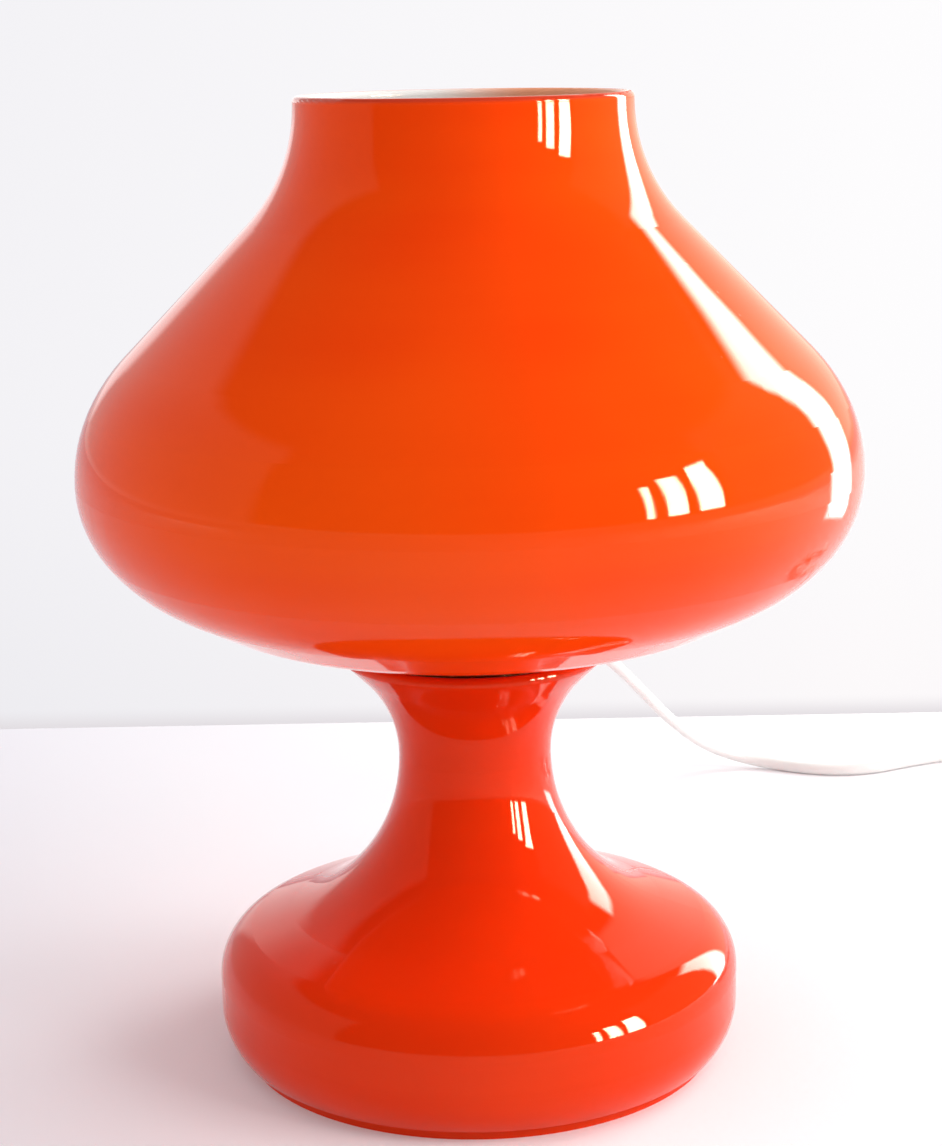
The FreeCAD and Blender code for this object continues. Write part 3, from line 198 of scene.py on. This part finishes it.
# how softly the seam ends, and the painted glow up the wall and to the side
SEAM_EDGE, GLOW_EDGE, GLOW_SIDE = 0.6 * MM, 4 * MM, (4 * MM, 20 * MM)


def cased_glass(name, deep, bright, seam=None, painted_glow=None):
    """Glossy blown glass: a coloured outer case over opal white, which shows on the inner side.

    The seam is a darker band between two heights; the painted glow is painted light, an orange tint inside
    the rim for light shining through the wall.
    """
    made, g = material(name)
    place = g.place("Object")
    x, y, z = g.split(place)
    normal = g.split(g.place("Normal"))
    across, along = g.math("MULTIPLY", x, normal[0]), g.math("MULTIPLY", y, normal[1])
    outward = g.math("DIVIDE", g.math("ADD", across, along), g.length(x, y))
    case = g.step(outward, CASE_TURNS_IN, 0.05)
    # the case runs thicker and thinner as it was blown, so its colour deepens in slow clouds and rings
    clouds = g.noise(place, CLOUDS, 2.0)
    rings = g.noise(g.stretched(RINGS), 1.0)
    cloudy = g.scaled(clouds, *MIDDLE, 0.0, CLOUD_SHARE)
    ringed = g.scaled(rings, *MIDDLE, 0.0, RING_SHARE)
    colour = g.blend(g.math("ADD", cloudy, ringed), deep, bright)
    if seam:
        low, high, tint = seam
        colour = g.blend(g.band(z, low, high, SEAM_EDGE), colour, tint)
    opal = g.blend(g.noise(place, OPAL_DRIFT), OPAL, shade(OPAL, 0.95))
    if painted_glow:
        # painted light: an orange glow down the inside from the rim, stronger to one side and uneven with
        # the clouds, for light shining through the wall
        low, tint = painted_glow
        glow_mask = g.math("MULTIPLY", g.step(z, low, GLOW_EDGE), g.step(x, *GLOW_SIDE))
        opal = g.blend(g.math("MULTIPLY", glow_mask, g.scaled(clouds, *MIDDLE, 0.75, 1.0)), opal, tint)
    waves = g.bump(g.noise(g.stretched(WAVES), 1.0, 1.5), WAVE_DEPTH, 0.35)
    seeds = g.node("ShaderNodeTexVoronoi", feature="F1")
    g.join(place, seeds.inputs["Vector"])
    seeds.inputs["Scale"].default_value = SEEDS
    specks = g.scaled(seeds.outputs["Distance"], 0.0, 0.09, 1.0, 0.0)
    principled(
        g,
        Base_Color=g.blend(case, opal, colour),
        Roughness=g.scaled(g.noise(place, GLOSS_DRIFT, 6.0, 0.6), 0.45, 0.75, 0.015, 0.06),
        IOR=1.40,
        Specular_Tint=rgb(1.0, 0.62, 0.38),
        Normal=g.bump(specks, SEED_DEPTH, 0.3, waves),
    )
    return made


def moulded(name, colour, roughness, grain=900.0, depth=0.02 * MM):
    """Moulded or enamelled surfaces: fine grain, slow colour drift, uneven gloss."""
    made, g = material(name)
    place = g.place("Object")
    drift = g.noise(place, 40.0, 4.0)
    fine = g.noise(place, grain)
    wear = g.noise(place, 132.0, 6.0, 0.65)
    principled(
        g,
        Base_Color=g.blend(g.scaled(drift, *MIDDLE, 0.0, 1.0), shade(colour, 0.95), colour),
        Roughness=g.scaled(wear, *MIDDLE, roughness * 0.8, roughness * 1.3),
        Normal=g.bump(fine, depth, 0.6),
    )
    return made


def metal(name, colour, roughness, stretch=(120.0, 120.0, 1200.0), depth=0.02 * MM, stain=None):
    """Drawn, spun or plated metal: fine lines along one direction, and slow tarnish."""
    made, g = material(name)
    place = g.place("Object")
    lines = g.noise(g.stretched(stretch), 1.0)
    tarnish = g.noise(place, 70.0, 5.0, 0.6)
    dull = stain or shade(colour, 0.88)
    principled(
        g,
        Base_Color=g.blend(g.scaled(tarnish, 0.35, 0.7, 0.0, 1.0), colour, dull),
        Metallic=1.0,
        Roughness=g.scaled(lines, *MIDDLE, roughness * 0.75, roughness * 1.35),
        Normal=g.bump(lines, depth, 0.5),
    )
    return made


def clear(name, colour, roughness, weight):
    """Glass that light passes through."""
    made, g = material(name)
    place = g.place("Object")
    waves = g.noise(place, 45.0, 2.0)
    frost = g.noise(place, 1400.0, 2.0)
    principled(
        g,
        Base_Color=g.blend(g.noise(place, 30.0), colour, shade(colour, 0.97)),
        Roughness=g.scaled(frost, *MIDDLE, roughness * 0.85, roughness * 1.15),
        Transmission_Weight=weight,
        IOR=1.5,
        Normal=g.bump(waves, 0.4 * MM, 0.3),
    )
    return made


SHADE_GLASS = cased_glass(
    "shade_glass",
    rgb(0.92, 0.048, 0.002),
    rgb(1.0, 0.086, 0.003),
    seam=(0.3238, 0.3300, rgb(0.62, 0.05, 0.02)),
    painted_glow=(0.312, rgb(0.95, 0.34, 0.15)),
)
BASE_GLASS = cased_glass("base_glass", rgb(0.71, 0.026, 0.002), rgb(0.81, 0.040, 0.003))

SLOTS = {
    "brass_sheet": metal(
        "brass_sheet", rgb(0.80, 0.60, 0.28), 0.28, stretch=(30.0, 30.0, 2600.0), stain=rgb(0.52, 0.36, 0.16)
    ),
    "soft_gasket": moulded("soft_gasket", rgb(0.80, 0.79, 0.75), 0.62, grain=500.0, depth=0.04 * MM),
    "plated_steel": metal("plated_steel", rgb(0.62, 0.64, 0.66), 0.30, stretch=(900.0, 900.0, 900.0)),
    "lacquered_pan": moulded("lacquered_pan", rgb(0.80, 0.79, 0.76), 0.30, grain=260.0, depth=0.06 * MM),
    "white_nylon": moulded("white_nylon", rgb(0.84, 0.83, 0.79), 0.42),
    "white_pvc": moulded("white_pvc", rgb(0.86, 0.855, 0.84), 0.34, grain=700.0, depth=0.03 * MM),
    "holder_plastic": moulded("holder_plastic", rgb(0.82, 0.80, 0.75), 0.25),
    "porcelain": moulded("porcelain", rgb(0.86, 0.85, 0.80), 0.10, grain=120.0, depth=0.05 * MM),
    "contact_brass": metal("contact_brass", rgb(0.83, 0.62, 0.27), 0.24, stretch=(400.0, 400.0, 1500.0)),
    "core_insulation": moulded("core_insulation", rgb(0.16, 0.07, 0.03), 0.38),
    "solder": metal("solder", rgb(0.58, 0.58, 0.58), 0.42, stretch=(500.0, 500.0, 500.0), depth=0.06 * MM),
    "dark_glass": moulded("dark_glass", rgb(0.012, 0.012, 0.015), 0.09, grain=200.0),
    "bulb_aluminium": metal("bulb_aluminium", rgb(0.78, 0.78, 0.79), 0.22, stretch=(60.0, 60.0, 2400.0)),
    "bulb_envelope": clear("bulb_envelope", rgb(0.98, 0.98, 0.96), 0.42, weight=0.75),
    "clear_glass": clear("clear_glass", rgb(0.95, 0.97, 0.97), 0.03, weight=0.95),
    "lead_wire": metal("lead_wire", rgb(0.60, 0.58, 0.55), 0.30),
    "filament_wire": metal("filament_wire", rgb(0.25, 0.25, 0.26), 0.45),
    "white_plastic": moulded("white_plastic", rgb(0.85, 0.845, 0.82), 0.26, grain=1100.0, depth=0.03 * MM),
    "pin_metal": metal("pin_metal", rgb(0.75, 0.74, 0.71), 0.16, stretch=(1400.0, 60.0, 1400.0)),
    "dark_sleeve": moulded("dark_sleeve", rgb(0.02, 0.02, 0.02), 0.40),
    "tie_plastic": moulded("tie_plastic", rgb(0.82, 0.82, 0.80), 0.35),
}

BLOWN = {"glass_shade": SHADE_GLASS, "glass_base": BASE_GLASS}

for part in frame["record"]["subparts"]:
    for holder in NODES[part["node"]].material_slots:
        holder.material = BLOWN.get(part["node"]) or SLOTS[part["material_slot"]]


# ---------------------------------------------------------------- cord

# the route in millimetres: out of the strain relief, through the air to the table, through the switch
TO_SWITCH = [
    (0, 69, 127),
    (0.5, 90, 127),
    (7, 118, 124),
    (20, 150, 114.5),
    (38, 182, 100),
    (57, 213, 80.5),
    (72, 238, 60),
    (86, 262, 39.5),
    (101, 286, 21),
    (112.4, 297.6, 11.4),
    (124.5, 301.6, 5.7),
    (138.1, 300.1, 2.6),
    (160.3, 288.2, 2.6),
    (184, 287.4, 2.6),
    (207, 299.8, 2.6),
    (226.9, 308, 2.6),
    (240.9, 308.6, 2.6),
    (254, 303.6, 2.6),
    (264.1, 294, 2.6),
    (269.6, 281.1, 2.6),
    (269.7, 263, 6.6),
    (269.6, 247.4, 6.6),
]
TO_COIL = [
    (269.6, 202.6, 6.6),
    (269.7, 187, 6.6),
    (269.6, 172, 3.7),
    (269.6, 158, 3.7),
]
TO_PLUG = [
    (346.4, 158, 9.3),
    (346.5, 170, 9.3),
    (346.4, 182, 6.85),
    (346.4, 194, 6.85),
]
CORD_RADIUS = 2.5
COIL_CENTRE = (308.0, 153.0)
COIL_OUTER, COIL_PITCH, COIL_TURNS = 38.4, 5.6, 3
COIL_LOW, COIL_HIGH = 3.7, 9.3
POINTS_A_TURN = 12


def coil_points():
    """Spirals in on the lower layer and out on the upper one, climbing in the half turn between them."""
    inner = COIL_OUTER - COIL_PITCH * COIL_TURNS
    out = 1 / math.cos(math.pi / POINTS_A_TURN)
    points = []
    for i in range(int((2 * COIL_TURNS + 0.5) * POINTS_A_TURN) + 1):
        turn = i / POINTS_A_TURN
        if turn <= COIL_TURNS:
            radius, height = COIL_OUTER - COIL_PITCH * turn, COIL_LOW
        elif turn < COIL_TURNS + 0.5:
            climb = (turn - COIL_TURNS) * 2
            radius = inner - COIL_PITCH / 4 * math.sin(math.pi * climb)
            height = COIL_LOW + (COIL_HIGH - COIL_LOW) * climb
        else:
            radius, height = inner + COIL_PITCH * (turn - COIL_TURNS - 0.5), COIL_HIGH
        angle = math.pi + 2 * math.pi * turn
        x = COIL_CENTRE[0] + radius * out * math.cos(angle)
        y = COIL_CENTRE[1] + radius * out * math.sin(angle)
        points.append((x, y, height))
    return points


def make_cord():
    """The mains cord in one piece, from the strain relief to the plug."""
    curve = bpy.data.curves.new("mains_cord", "CURVE")
    curve.dimensions = "3D"
    curve.bevel_depth = CORD_RADIUS * MM
    curve.bevel_resolution = 8
    curve.resolution_u = 10
    curve.use_fill_caps = True
    points = TO_SWITCH + TO_COIL + coil_points()[1:-1] + TO_PLUG
    spline = curve.splines.new("NURBS")
    spline.points.add(len(points) - 1)
    for spot, (x, y, z) in zip(spline.points, points):
        spot.co = (x * MM, y * MM, z * MM, 1.0)
    spline.order_u = 3
    spline.use_endpoint_u = True
    cord = bpy.data.objects.new("mains_cord", curve)
    bpy.context.scene.collection.objects.link(cord)
    curve.materials.append(SLOTS["white_pvc"])
    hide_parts("cord_lead", "cord_link", "cord_coil", "cord_tail")
    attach(cord, "root")


make_cord()


# ---------------------------------------------------------------- table and wall


WALL_Y = 0.389
# how far the table reaches to each side, and the wall to the sides and up
REACH = 4
# where the shade's belly reflects the bright strip, and the painted strip of light that carries it on across
# the table as seen from there:
# its bearings and their softness, its near end and how far that fades, and its strength
BELLY_X, BELLY_Y = 0.11, -0.07
STRIP_BEARINGS = (41.0, 57.0, 2.0)
STRIP_START = (0.66, 0.06)
STRIP_GLEAM = 12.0
TABLE_GLOW = 0.10


def plane(name, corners, finish):
    """A staged face that isn't part of the object."""
    mesh = bpy.data.meshes.new(name)
    mesh.from_pydata(corners, [], [(0, 1, 2, 3)])
    mesh.materials.append(finish)
    made = bpy.data.objects.new(name, mesh)
    bpy.context.scene.collection.objects.link(made)
    return made


def see_through_back(g, surface):
    """The back face lets the camera look through, so that no view is blocked."""
    side = g.node("ShaderNodeNewGeometry").outputs["Backfacing"]
    through = g.node("ShaderNodeBsdfTransparent").outputs[0]
    out = g.node("ShaderNodeOutputMaterial")
    hidden = g.math("MULTIPLY", side, g.ray("Is Camera Ray"))
    g.join(g.shaders(hidden, surface, through), out.inputs["Surface"])


def lift(g, surface, colour, strength):
    """Adds a little light of its own, seen by the camera and in gloss and glass only."""
    seen = g.math("ADD", g.ray("Is Camera Ray"), g.ray("Is Glossy Ray"))
    seen = g.math("ADD", seen, g.ray("Is Transmission Ray"), clamp=True)
    glow = g.node("ShaderNodeEmission")
    g.put(colour, glow.inputs["Color"])
    g.join(g.math("MULTIPLY", seen, strength), glow.inputs["Strength"])
    both = g.node("ShaderNodeAddShader")
    g.join(surface, both.inputs[0])
    g.join(glow.outputs[0], both.inputs[1])
    return both.outputs[0]


def table_finish():
    """White paint, with painted shade that darkens it towards the left."""
    made, g = material("table_white")
    place = g.place("Object")
    x, y, _ = g.split(place)
    # painted shade: darker towards the left, away from the lamps on the right
    painted_left_shade = g.scaled(x, -0.30, 0.02, 0.0, 1.0)
    drift = g.noise(place, 3.0, 4.0)
    plain = g.blend(drift, rgb(0.86, 0.845, 0.87), rgb(0.89, 0.88, 0.90))
    shaded_white = g.blend(drift, rgb(0.725, 0.715, 0.775), rgb(0.755, 0.745, 0.80))
    paint = g.node("ShaderNodeBsdfDiffuse")
    g.join(g.blend(painted_left_shade, shaded_white, plain), paint.inputs["Color"])
    g.join(g.bump(g.noise(place, 400.0), 0.1 * MM, 0.2), paint.inputs["Normal"])
    # painted reflection: the table gives off light of its own along the bright strip's bearings on its far
    # right, where only gloss shows it, so the strip's highlight runs on down the shade
    ahead, aside = g.math("SUBTRACT", y, BELLY_Y), g.math("SUBTRACT", x, BELLY_X)
    bearing = g.degrees(g.math("ARCTAN2", aside, ahead))
    beyond = g.step(g.length(ahead, aside), *STRIP_START)
    strip = g.math("MULTIPLY", g.band(bearing, *STRIP_BEARINGS), beyond)
    strip = g.math("MULTIPLY", strip, g.ray("Is Glossy Ray"))
    strength = g.math("ADD", g.math("MULTIPLY", strip, STRIP_GLEAM), TABLE_GLOW)
    see_through_back(g, lift(g, paint.outputs[0], rgb(1.0, 0.97, 1.0), strength))
    return made


def wall_finish():
    """White with painted shade: greyer to the left and low down, with a thin darker line of painted shade
    just above the table.
    """
    made, g = material("wall_white")
    x, _, z = g.split(g.place("Object"))
    glow = g.node("ShaderNodeEmission")
    # painted shade: greyer to the left and low down, darkest in a thin line where the wall meets the table
    painted_side_shade = g.scaled(x, -0.25, 0.2, 0.0, 1.0)
    upper = g.blend(painted_side_shade, rgb(0.895, 0.885, 0.915), rgb(0.985, 0.975, 0.985))
    lower = g.blend(painted_side_shade, rgb(0.845, 0.835, 0.87), rgb(0.975, 0.945, 0.955))
    seam = g.blend(g.step(z, 4 * MM, 7 * MM), rgb(0.74, 0.70, 0.73), lower)
    g.join(g.blend(g.step(z, 0.07, 0.11), seam, upper), glow.inputs["Color"])
    g.join(g.ray("Is Camera Ray"), glow.inputs["Strength"])
    see_through_back(g, glow.outputs[0])
    return made


plane(
    "table",
    [(-REACH, -REACH, 0), (REACH, -REACH, 0), (REACH, REACH, 0), (-REACH, REACH, 0)],
    table_finish(),
)
wall = plane(
    "back_wall",
    [(-REACH, WALL_Y, 0), (REACH, WALL_Y, 0), (REACH, WALL_Y, REACH), (-REACH, WALL_Y, REACH)],
    wall_finish(),
)
wall.visible_glossy = False
wall.visible_diffuse = False
wall.visible_shadow = False
wall.visible_transmission = False


# ---------------------------------------------------------------- light


# patches of the room by direction, in degrees: bearing from and to, rise from and to, softness of the edges
LEFT_WALL = (-117, -25, -5, 42, 3.0)
BACK_WALL = (-25, 41, -5, 48, 3.0)
BRIGHT_STRIP = (41, 55, -15, 35, 2.0)
RIGHT_WALL = (55, 103, -5, 40, 3.0)
WINDOW_PANES = (
    (106.4, 114.3, 0.5, 25.0, 0.8),
    (118.6, 124.4, 0.5, 22.0, 0.8),
    (127.9, 130.4, 0.5, 19.0, 0.8),
)
# the bearings between which the room's light is warmer, and their softness
WARM_SIDE = (5.0, 100.0, 15.0)
# strengths: the walls, the room between, what lies below the horizon, the strip, the panes, the even fill
LEFT, BACK, RIGHT = 0.55, 1.3, 0.26
DARK, BELOW, STRIP, PANE, FILL = 0.06, 0.8, 15.0, 85.0, 0.61


def room():
    """White light all round, and for gloss the room's walls, bright strip and window by direction."""
    world = bpy.data.worlds.new("room")
    world.use_nodes = True
    bpy.context.scene.world = world
    g = Graph(world.node_tree)
    x, y, z = g.split(g.place("Generated"))
    bearing = g.degrees(g.math("ARCTAN2", x, y))
    rise = g.degrees(g.math("ARCSINE", z))

    def patch(low, high, bottom, top, soft):
        return g.math("MULTIPLY", g.band(bearing, low, high, soft), g.band(rise, bottom, top, soft))

    def plus(total, mask, strength):
        return g.math("ADD", total, g.math("MULTIPLY", mask, strength))

    def background(colour, strength):
        made = g.node("ShaderNodeBackground")
        g.put(colour, made.inputs["Color"])
        g.put(strength, made.inputs["Strength"])
        return made.outputs[0]

    total = plus(DARK, patch(*LEFT_WALL), LEFT)
    total = plus(total, patch(*BACK_WALL), BACK)
    total = plus(total, patch(*RIGHT_WALL), RIGHT)
    above = g.step(rise, -1.0, 1.0)
    total = plus(g.math("MULTIPLY", total, above), g.math("SUBTRACT", 1.0, above), BELOW)
    strip = patch(*BRIGHT_STRIP)
    total = plus(total, strip, STRIP)
    for pane in WINDOW_PANES:
        total = plus(total, patch(*pane), PANE)

    warm = g.math("SUBTRACT", g.band(bearing, *WARM_SIDE), strip, clamp=True)
    gloss = background(g.blend(warm, rgb(1.0, 0.985, 0.99), rgb(1.0, 0.90, 0.74)), total)
    fill = background(rgb(1.0, 0.99, 1.0), FILL)
    white = background(rgb(1.0, 1.0, 1.0), 1.0)
    seen = g.math("ADD", g.ray("Is Camera Ray"), g.ray("Is Transmission Ray"), clamp=True)
    out = g.node("ShaderNodeOutputWorld")
    g.join(g.shaders(seen, g.shaders(g.ray("Is Glossy Ray"), fill, gloss), white), out.inputs["Surface"])


# the height that the lamps face
AIM = Vector((0, 0, 0.16))


def lamp(name, bearing, rise, distance, size, power, colour):
    """A soft rectangular light that faces the object from a bearing (0 is the back, 90 the right)."""
    light = bpy.data.lights.new(name, "AREA")
    light.shape = "RECTANGLE"
    light.size, light.size_y = size
    light.energy = power
    light.color = colour
    made = bpy.data.objects.new(name, light)
    a, e = math.radians(bearing), math.radians(rise)
    towards = Vector((math.sin(a) * math.cos(e), math.cos(a) * math.cos(e), math.sin(e)))
    made.location = AIM + towards * distance
    made.rotation_euler = towards.to_track_quat("Z", "Y").to_euler()
    made.visible_camera = False
    made.visible_glossy = False
    made.visible_transmission = False
    bpy.context.scene.collection.objects.link(made)


room()
lamp("key", bearing=62, rise=34, distance=2.2, size=(1.4, 1.2), power=28.0, colour=(1.0, 0.985, 0.96))
lamp("window", bearing=115, rise=28, distance=2.4, size=(1.3, 1.0), power=26.0, colour=(1.0, 0.98, 0.96))
lamp("low_right", bearing=96, rise=6, distance=2.2, size=(1.0, 0.6), power=10.5, colour=(1.0, 0.98, 0.94))
lamp("low_left", bearing=-98, rise=5, distance=2.2, size=(1.0, 0.6), power=5.0, colour=(1.0, 0.97, 0.97))


# ---------------------------------------------------------------- camera


SENSOR_MM = 36.0
# in pixels
FOCAL_LENGTH, PICTURE_HEIGHT = 2376.96, 1146
VIEWPOINT = (0, -0.77897, 0.34545)
# in degrees
PITCH, ROLL, YAW = 12.924, -1.045, -0.017


def camera():
    """The photograph's viewpoint, fitted to the lamp's outline."""
    pitch, roll, yaw = (math.radians(v) for v in (PITCH, ROLL, YAW))
    forward = Vector((math.sin(yaw) * math.cos(pitch), math.cos(yaw) * math.cos(pitch), -math.sin(pitch)))
    level = Vector((math.cos(yaw), -math.sin(yaw), 0))
    upright = level.cross(forward)
    right = level * math.cos(roll) + upright * math.sin(roll)
    up = upright * math.cos(roll) - level * math.sin(roll)
    data = bpy.data.cameras.new("camera")
    data.sensor_width = SENSOR_MM
    data.lens = SENSOR_MM * FOCAL_LENGTH / PICTURE_HEIGHT
    data.clip_start, data.clip_end = 0.05, 50
    made = bpy.data.objects.new("camera", data)
    turned = Matrix((right, up, -forward)).transposed().to_4x4()
    made.matrix_world = Matrix.Translation(VIEWPOINT) @ turned
    bpy.context.scene.collection.objects.link(made)
    bpy.context.scene.camera = made


camera()
bpy.context.scene.view_settings.view_transform = "Standard"
